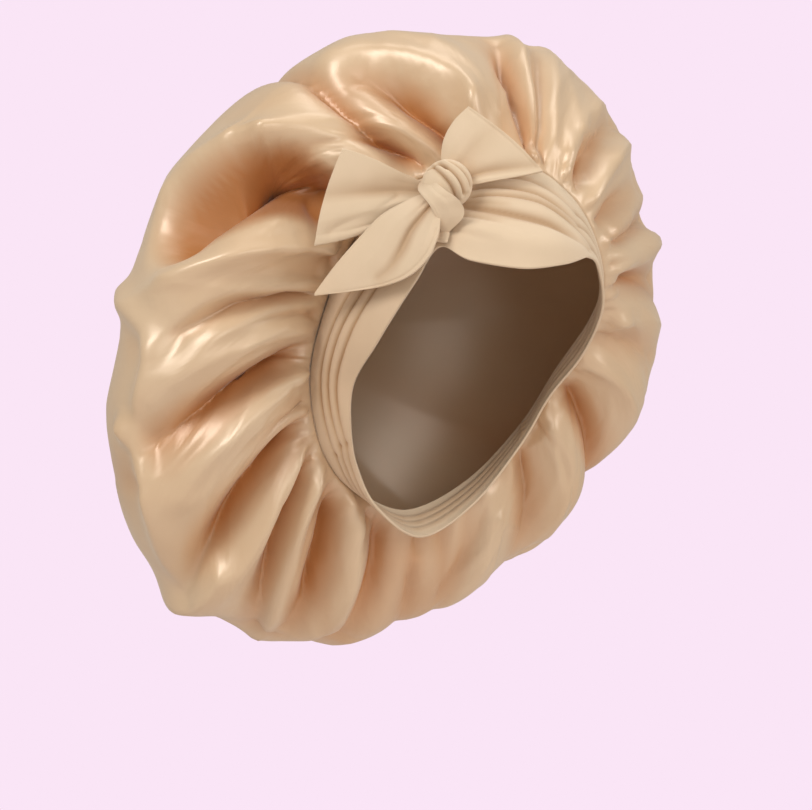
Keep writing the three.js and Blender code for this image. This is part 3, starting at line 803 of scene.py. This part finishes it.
@dataclass(frozen=True)
class JerseyFinish:
    """Matte knitted jersey with fine ribs that follow the cloth's length, and painted shade in its pleats and
    folds.
    """

    name: str = "peach_jersey"
    light: Triple = (0.78, 0.61, 0.44)
    tawny: Triple = (0.70, 0.55, 0.38)
    painted_shade_color: Triple = (0.46, 0.28, 0.15)
    ribs_per_width: float = 120.0
    loops_per_length: float = 500.0

    def material(self) -> bpy.types.Material:
        """Builds the material.

        Returns:
            The material.
        """
        graph = Graph(self.name)
        graph.set(Roughness=0.82, Specular_IOR_Level=0.25)
        graph.set(Sheen_Weight=0.35, Sheen_Roughness=0.5, Sheen_Tint=(1.0, 0.92, 0.82, 1.0))
        place = graph.add("ShaderNodeTexCoord")
        cloud = graph.add("ShaderNodeTexNoise", Scale=40.0, Detail=4.0)
        graph.link(place.outputs["Object"], cloud.inputs["Vector"])
        cloth = graph.blend(cloud.outputs["Fac"], self.tawny, self.light)
        # Painted shade: a number on each vertex mixes in a darker brown in pleats, folds, the shaded side of
        # the band and near the knot.
        depth = graph.add("ShaderNodeAttribute", attribute_name="painted_shade")
        graph.link(graph.blend(depth.outputs["Fac"], cloth, self.painted_shade_color), graph.shader.inputs["Base Color"])
        scale = graph.add("ShaderNodeMapping")
        scale.inputs["Scale"].default_value = (self.loops_per_length, self.ribs_per_width, 1)
        graph.link(place.outputs["UV"], scale.inputs["Vector"])
        knit = graph.add("ShaderNodeTexWave", bands_direction="Y", Scale=1.0, Distortion=1.5)
        graph.link(scale.outputs["Vector"], knit.inputs["Vector"])
        bump = graph.add("ShaderNodeBump", Strength=0.25, Distance=0.0003)
        graph.link(knit.outputs["Fac"], bump.inputs["Height"])
        graph.link(bump.outputs["Normal"], graph.shader.inputs["Normal"])
        return graph.material


@dataclass(frozen=True)
class GatherRing:
    """A ring of folds that leave the seam, each with its own height, width, lean and length.

    Sizes are in millimetres. Every second fold is a valley, by the valley's part of the height. At -1 it
    is a ridge like the others. The jitter is how far a fold may stand off its even place, in steps.
    """

    count: int
    seed: int
    height: float
    width: float
    spread: float
    begin: float
    reach: tuple[float, float]
    sharpness: float
    lean: float
    valley: float = -1.0
    jitter: float = 0.3
    heights_drawn: tuple[float, float] = (0.3, 1.0)
    widths_drawn: tuple[float, float] = (0.7, 1.3)
    start_length: float = 0.03
    full_share: float = 0.4

    def heights(self, turn: np.ndarray, way: np.ndarray, girth: np.ndarray) -> np.ndarray:
        """Height of the ring's folds together.

        Args:
            turn: How far round, from 0 to 1.
            way: Way from the seam (0) to the middle of the back (1).
            girth: Millimetres round the puff at each point.

        Returns:
            Heights in millimetres.
        """
        draw = np.random.default_rng(self.seed)
        total = np.zeros(turn.shape)
        for k in range(self.count):
            centre = (k + draw.uniform(-self.jitter, self.jitter)) / self.count
            lean = draw.normal(0, self.lean)
            reach = draw.uniform(*self.reach)
            height = self.height * draw.uniform(*self.heights_drawn) * (1.0 if k % 2 else -self.valley)
            width = self.width * draw.uniform(*self.widths_drawn)
            distance = np.abs(np.mod(turn - centre - lean * way + 0.5, 1) - 0.5) * girth
            whole = self.full_share * reach
            start = smooth((way - self.begin) / self.start_length)
            fade = start * (1 - smooth((way - whole) / (reach - whole)))
            total += height * fade * np.exp(-((distance / (width + self.spread * way)) ** self.sharpness))
        return total


# In each row: count, seed, height, width, spread, begin, reach, sharpness, lean and valley.
COARSE_GATHERS = (
    GatherRing(42, 11, 6.5, 3.4, 22, 0.01, (0.26, 0.60), 1.2, 0.05, 1.0),
    GatherRing(18, 23, 6.0, 5.0, 24, 0.05, (0.50, 0.95), 1.15, 0.07, 1.0),
    GatherRing(14, 71, 4.5, 6.0, 20, 0.45, (1.10, 1.60), 1.4, 0.03, 1.0),
)
FINE_GATHERS = (
    GatherRing(68, 5, 2.8, 2.1, 18, 0.0, (0.07, 0.20), 1.6, 0.03),
    GatherRing(44, 31, 1.6, 2.2, 8, 0.05, (0.25, 0.70), 1.2, 0.06),
    GatherRing(58, 47, 1.3, 2.0, 5, 0.14, (0.38, 0.80), 1.3, 0.12),
)


@dataclass
class Crown:
    """The gathered satin puff."""

    form: BonnetForm
    finish: bpy.types.Material
    columns: int = 400
    rows: int = 110
    # Painted shade: full at this fold depth in millimetres, with its weight between gathers and its curve.
    depth_of_full_shade: float = 19.0
    gather_shade: float = 1.6
    shade_curve: float = 0.9
    thickness: float = 0.0006
    flat_diameter: float = 0.80

    def surface(self, turn: np.ndarray, way: np.ndarray) -> np.ndarray:
        """The puff with its folds and coarse gathers. Keeps how much painted shade each point gets in its
        fold valleys and between its gathers.

        Args:
            turn: How far round, from 0 to 1.
            way: Way from the seam (0) to the middle of the back (1).

        Returns:
            Points in metres.
        """
        middle = 360.0 * turn
        clock = middle + self.form.swing(middle) * (smooth(2 * way) - 0.5)
        base = self.form.puff_points(clock, way)
        normals = self.form.puff_normals(clock, way)
        height = self.form.fold_heights(base, way)
        gathers = sum(ring.heights(turn, way, self.girth(base)) for ring in COARSE_GATHERS)
        # Painted shade: the hollows between gathers and the fold valleys get a darker colour.
        between = self.gather_shade * np.clip(-gathers, 0, None)
        self.depth = np.clip((between - height) / self.depth_of_full_shade, 0, 1) ** self.shade_curve
        height += gathers
        return (base + normals * height[..., None]) * MM

    def girth(self, points: np.ndarray) -> np.ndarray:
        """Millimetres round the puff at each point."""
        return 2 * math.pi * np.hypot(points[..., 0], points[..., 2] - self.form.axis_height)

    def build(self) -> bpy.types.Object:
        """Builds the crown.

        Returns:
            The crown's object.
        """
        obj, turn, way = new_grid("crown_satin", self.columns, self.rows)
        move_vertices(obj, self.surface(turn, way))
        # Stores the painted shade for the material to read.
        store_numbers(obj, "painted_shade", self.depth)
        close_seams(obj)
        self.pleat(obj)
        thicken(obj, self.thickness)
        add_piece(obj, ["crown"], self.finish)
        return obj

    def pleat(self, obj: bpy.types.Object) -> None:
        """Adds the fine gathers along the seam.

        Args:
            obj: The crown, as one sheet.
        """
        turn, way = vertex_uvs(obj).T
        points = vertex_positions(obj)
        girth = self.girth(points / MM)
        height = sum(ring.heights(turn, way, girth) for ring in FINE_GATHERS)
        move_vertices(obj, points + vertex_normals(obj) * height[:, None] * MM)


@dataclass
class Band:
    """The wide jersey band round the hairline, with its lengthwise pleats."""

    form: BonnetForm
    finish: bpy.types.Material
    columns: int = 300
    rows: int = 80
    thickness: float = 0.0016
    # Painted shade: the side under the puff is darker around this clock angle, and so are the pleat valleys.
    shaded_side: float = 262.0
    side_shade: float = 0.32
    side_reach: float = 50.0
    depth_of_full_shade: float = 2.6
    most_shade: float = 0.8

    def build(self) -> bpy.types.Object:
        """Builds the band.

        Returns:
            The band's object.
        """
        obj, turn, across = new_grid("band_jersey", self.columns, self.rows)
        clock = 360.0 * turn
        base = self.form.band_points(clock, across)
        normals = self.form.band_normals(clock, across)
        height = relief(base, self.form.band_points, BAND_FOLDS)
        move_vertices(obj, (base + normals * height[..., None]) * MM)
        # Painted shade on the side that the puff shades and in the pleat valleys.
        side = np.exp(-(((np.mod(clock - self.shaded_side + 180, 360) - 180) / self.side_reach) ** 2))
        shade = np.clip(-height / self.depth_of_full_shade, 0, self.most_shade)
        store_numbers(obj, "painted_shade", shade + self.side_shade * side)
        close_seams(obj)
        thicken(obj, self.thickness)
        add_piece(obj, ["band"], self.finish)
        return obj


@dataclass
class Flap:
    """A flap of doubled jersey that leaves the knot, given in the bow's own directions and turned with it."""

    name: str
    edges: tuple[Edges, ...]
    folds: tuple[Fold, ...]
    flat: tuple[float, float]
    held: Held
    nodes: tuple[str, ...]
    finish: bpy.types.Material
    swell: float = 1.5
    end_bulge: float = 0.0
    columns: int = 72
    rows: int = 96
    thickness: float = 0.0016
    # Painted shade in the fold valleys and near the knot.
    depth_of_full_shade: float = 4.5
    most_shade: float = 0.6
    knot_shade: float = 0.35
    knot_reach: float = 0.25

    def surface(self, across: np.ndarray, along: np.ndarray) -> np.ndarray:
        """The flap before its folds.

        Args:
            across: Way from the left edge (0) to the right edge (1), seen on the way out.
            along: Way from the knot (0) to the free end (1).

        Returns:
            Points in millimetres.
        """
        right = through(np.array([row.right for row in self.edges], float), along)
        left = through(np.array([row.left for row in self.edges], float), along)
        points = left + (right - left) * across[..., None]
        last, before = self.edges[-1], self.edges[-2]
        out = unit(np.array(last.right, float) + last.left - before.right - before.left)
        lean = self.end_bulge * np.sin(math.pi * across) * along**4
        points = points + out * lean[..., None]
        points[..., 1] -= self.swell * np.sin(math.pi * across) * (0.4 + 0.6 * np.sin(math.pi * along))
        return points

    def build(self) -> bpy.types.Object:
        """Builds the flap.

        Returns:
            The flap's object.
        """
        obj, across, along = new_grid(self.name, self.columns, self.rows)
        points = self.surface(across, along)
        height = relief(points, self.surface, self.folds)
        points[..., 1] -= height
        move_vertices(obj, turned(points, BOW_TURN) * MM)
        # Painted shade: darker in the fold valleys and close to the knot, where shade falls.
        painted_knot_shade = self.knot_shade * (1 - smooth(along / self.knot_reach))
        store_numbers(obj, "painted_shade", np.clip(-height / self.depth_of_full_shade, 0, self.most_shade) + painted_knot_shade)
        close_seams(obj)
        thicken(obj, self.thickness)
        add_piece(obj, self.nodes, self.finish)
        return obj


@dataclass
class Knot:
    """The knot's wound core."""

    finish: bpy.types.Material
    centre: Triple = (-17.0, -66.0, 117.5)
    half: Triple = (15.2, 13.0, 15.0)
    segments: int = 180
    rings: int = 120
    side_reach: float = 0.4
    depth_of_full_shade: float = 2.6

    def surface(self, right: np.ndarray, rise: np.ndarray) -> np.ndarray:
        """A point on the knot's front.

        Args:
            right: Place across, from -1 to 1.
            rise: Place up, from 0 to 1.

        Returns:
            Points in millimetres from the knot's centre.
        """
        up = 2 * rise - 1
        depth = np.sqrt(np.clip(1 - right**2 - up**2, 0.0, 1.0))
        return np.stack([right, -depth, up], -1) * np.array(self.half)

    def build(self) -> bpy.types.Object:
        """Builds the knot's core.

        Returns:
            The core's object.
        """
        bpy.ops.object.select_all(action="DESELECT")
        bpy.ops.mesh.primitive_uv_sphere_add(segments=self.segments, ring_count=self.rings, radius=1)
        obj = bpy.context.active_object
        obj.name = obj.data.name = "knot_core"
        ball = vertex_positions(obj)
        points = ball * np.array(self.half)
        depth = relief(points, self.surface, KNOT_FOLDS)
        depth = depth * smooth(-ball[:, 1] + self.side_reach)
        points = points + ball * depth[:, None] + np.array(self.centre)
        move_vertices(obj, turned(points, BOW_TURN) * MM)
        # Painted shade in the valleys between the wound strands.
        store_numbers(obj, "painted_shade", np.clip(-depth / self.depth_of_full_shade, 0, 1))
        select_only(obj)
        bpy.ops.object.shade_smooth()
        add_piece(obj, ["knot"], self.finish)
        return obj


@dataclass
class Bow:
    """The bow at the right temple: a wound knot with its strap, two ears and two tails."""

    finish: bpy.types.Material

    def build(self) -> None:
        """Builds the bow's pieces."""
        Knot(self.finish).build()
        for flap in self.flaps():
            flap.build()

    def flaps(self) -> tuple[Flap, ...]:
        """The flat pieces of the bow.

        Returns:
            The strap over the knot, the ears and the tails.
        """
        jersey = self.finish
        return (
            Flap("knot_strap", STRAP_EDGES, STRAP_FOLDS, (0.016, 0.05), Held.FOLDED, (), jersey,
                 swell=0.8, columns=48, rows=80),
            Flap("ear_left", LEFT_EAR_EDGES, LEFT_EAR_FOLDS, (0.045, 0.068), Held.GATHERED,
                 ("bow_ear_left",), jersey, end_bulge=2.6),
            Flap("ear_right", RIGHT_EAR_EDGES, RIGHT_EAR_FOLDS, (0.045, 0.05), Held.GATHERED,
                 ("bow_ear_right",), jersey, swell=2.0, end_bulge=2.6),
            Flap("tail_long_cloth", LONG_TAIL_EDGES, LONG_TAIL_FOLDS, (0.034, 0.096), Held.HUNG,
                 ("tail_long",), jersey, swell=0.8),
            Flap("tail_short_cloth", SHORT_TAIL_EDGES, SHORT_TAIL_FOLDS, (0.0125, 0.017), Held.HUNG,
                 ("tail_short",), jersey, swell=0.6, columns=32, rows=40),
        )


class Lamp(NamedTuple):
    """A square soft light: its place as the camera sees it, its side in metres and its watts."""

    name: str
    place: Triple
    size: float
    power: float
    color: Triple = (1.0, 0.98, 0.96)


LAMPS = (
    Lamp("key", (-1.2, 1.3, 1.3), 0.9, 25, (1.0, 0.98, 0.95)),
    Lamp("front", (0.5, 0.5, 2.0), 1.2, 10),
    Lamp("right", (1.7, 0.7, 0.5), 1.0, 13),
    Lamp("top", (0.2, 1.8, -0.3), 1.0, 7),
)


def make_light(lamp: Lamp, place: Triple, target: Triple) -> None:
    """Adds a square soft light.

    Args:
        lamp: Its name, size, power and colour.
        place: Where it stands, in metres.
        target: The point that it faces.
    """
    data = bpy.data.lights.new(lamp.name, "AREA")
    data.shape, data.size, data.energy, data.color = "SQUARE", lamp.size, lamp.power, lamp.color
    light = bpy.data.objects.new(lamp.name, data)
    bpy.context.scene.collection.objects.link(light)
    light.location = place
    light.rotation_mode = "QUATERNION"
    light.rotation_quaternion = (Vector(target) - Vector(place)).to_track_quat("-Z", "Y")


@dataclass
class Studio:
    """Plain pale floor, soft light and the camera."""

    backdrop: Triple = (0.956, 0.783, 0.922)
    ambient: float = 0.34
    ambient_tint: Triple = (1.0, 0.94, 0.85)
    azimuth: float = -35.0
    elevation: float = 2.0
    distance: float = 1.7
    target: Triple = (-0.034, 0.024, -0.017)
    lens: float = 120.6
    lit_point: Triple = (-0.03, 0.06, 0.02)
    floor_height: float = -0.9
    floor_radius: float = 2.2
    floor_color: Triple = (0.9, 0.80, 0.76)

    def build(self) -> None:
        """Builds the floor, the lights and the camera."""
        self.camera()
        self.world()
        self.floor()
        self.lights()

    def offset(self, right: float, up: float, toward: float) -> Triple:
        """A place given from the target as the camera sees it.

        Args:
            right: Metres to the right.
            up: Metres up.
            toward: Metres towards the camera.

        Returns:
            The place in metres.
        """
        a = math.radians(self.azimuth)
        x, y, z = self.target
        return (
            x + right * math.cos(a) + toward * math.sin(a),
            y + right * math.sin(a) - toward * math.cos(a),
            z + up,
        )

    def camera(self) -> None:
        """Adds the camera."""
        a, e = math.radians(self.azimuth), math.radians(self.elevation)
        back = Vector((math.sin(a) * math.cos(e), -math.cos(a) * math.cos(e), math.sin(e)))
        data = bpy.data.cameras.new("camera")
        data.lens, data.sensor_width = self.lens, 36.0
        camera = bpy.data.objects.new("camera", data)
        bpy.context.scene.collection.objects.link(camera)
        camera.location = Vector(self.target) + back * self.distance
        camera.rotation_mode = "QUATERNION"
        camera.rotation_quaternion = (-back).to_track_quat("-Z", "Y")
        bpy.context.scene.camera = camera

    def world(self) -> None:
        """Sets the backdrop that shows and the softer light that it gives."""
        scene = bpy.context.scene
        scene.view_settings.view_transform = "Standard"
        world = bpy.data.worlds.new("studio")
        scene.world = world
        world.use_nodes = True
        nodes, links = world.node_tree.nodes, world.node_tree.links
        shown = nodes["Background"]
        shown.inputs["Color"].default_value = (*self.backdrop, 1)
        given = nodes.new("ShaderNodeBackground")
        given.inputs["Color"].default_value = (*self.ambient_tint, 1)
        given.inputs["Strength"].default_value = self.ambient
        rays = nodes.new("ShaderNodeLightPath")
        mix = nodes.new("ShaderNodeMixShader")
        links.new(rays.outputs["Is Camera Ray"], mix.inputs[0])
        links.new(given.outputs[0], mix.inputs[1])
        links.new(shown.outputs[0], mix.inputs[2])
        links.new(mix.outputs[0], nodes["World Output"].inputs["Surface"])

    def floor(self) -> None:
        """Adds the pale floor, well below the bonnet."""
        bpy.ops.object.select_all(action="DESELECT")
        place = (0, 0, self.floor_height)
        radius = self.floor_radius
        bpy.ops.mesh.primitive_circle_add(vertices=96, radius=radius, fill_type="NGON", location=place)
        floor = bpy.context.active_object
        floor.name = "floor"
        graph = Graph("pale_floor")
        graph.set(Base_Color=(*self.floor_color, 1), Roughness=0.9)
        floor.data.materials.append(graph.material)

    def lights(self) -> None:
        """Adds the soft lights."""
        for lamp in LAMPS:
            make_light(lamp, self.offset(*lamp.place), self.lit_point)


def main() -> None:
    """Builds the studio and every piece of the bonnet in order."""
    Studio().build()
    form = BonnetForm()
    satin = SatinFinish().material()
    jersey = JerseyFinish().material()
    for piece in (Crown(form, satin), Band(form, jersey), Bow(jersey)):
        piece.build()


if __name__ == "__main__":
    main()
